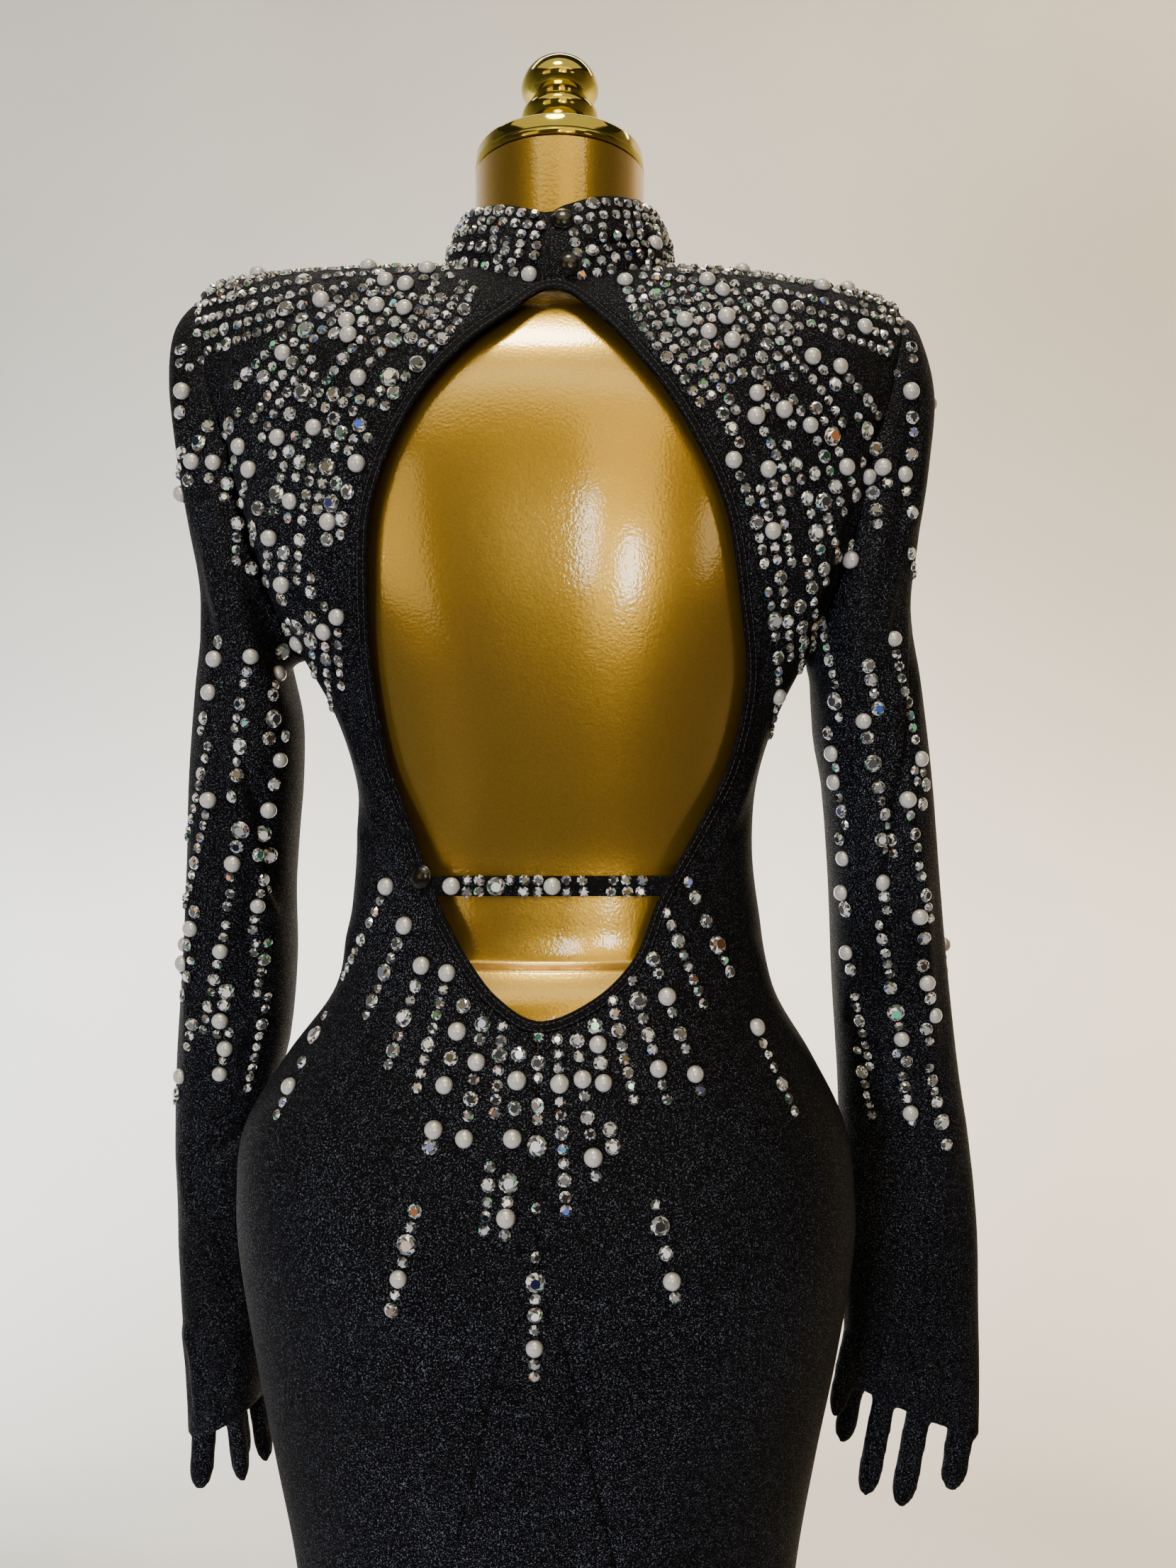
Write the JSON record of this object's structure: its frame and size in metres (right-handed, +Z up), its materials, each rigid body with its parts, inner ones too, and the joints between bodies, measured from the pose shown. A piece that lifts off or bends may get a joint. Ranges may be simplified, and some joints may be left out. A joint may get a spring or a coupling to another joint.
{
  "type": "bodycon maxi dress on a dress form",
  "caption": "Long-sleeved open-back bodycon maxi dress with gloved hands, standing collar and flared godet, on a gold limbless dress form with pole and base.",
  "frame": {"origin": "centre of the stand base's underside, on the floor", "axes": "+Z up along the stand's pole; the open back faces -Y, the chest faces +Y, and +X is the right-hand side as seen from behind the dress"},
  "size_m": [0.515, 0.3828, 1.5867],
  "materials": {
    "scuba_cloth": "matt-satin stretch knit",
    "binding": "matt bias binding with topstitching",
    "snap": "polished black dome",
    "form_paint": "satin metallic gold paint with fine orange peel",
    "gold_plate": "polished gold plating"
  },
  "bodies": {
    "root": {"dress_front": "scuba_cloth", "back_left": "scuba_cloth", "back_right": "scuba_cloth", "back_godet": "scuba_cloth", "collar": "scuba_cloth", "sleeve_left": "scuba_cloth", "sleeve_right": "scuba_cloth", "cutout_binding": "binding", "back_strap": "binding", "collar_snap_upper": "snap", "collar_snap_lower": "snap", "strap_snap": "snap", "form_body": "form_paint", "neck_cap": "gold_plate", "finial": "gold_plate", "form_flange": "gold_plate", "stand_pole": "gold_plate", "stand_base": "gold_plate"}
  },
  "joints": []
}
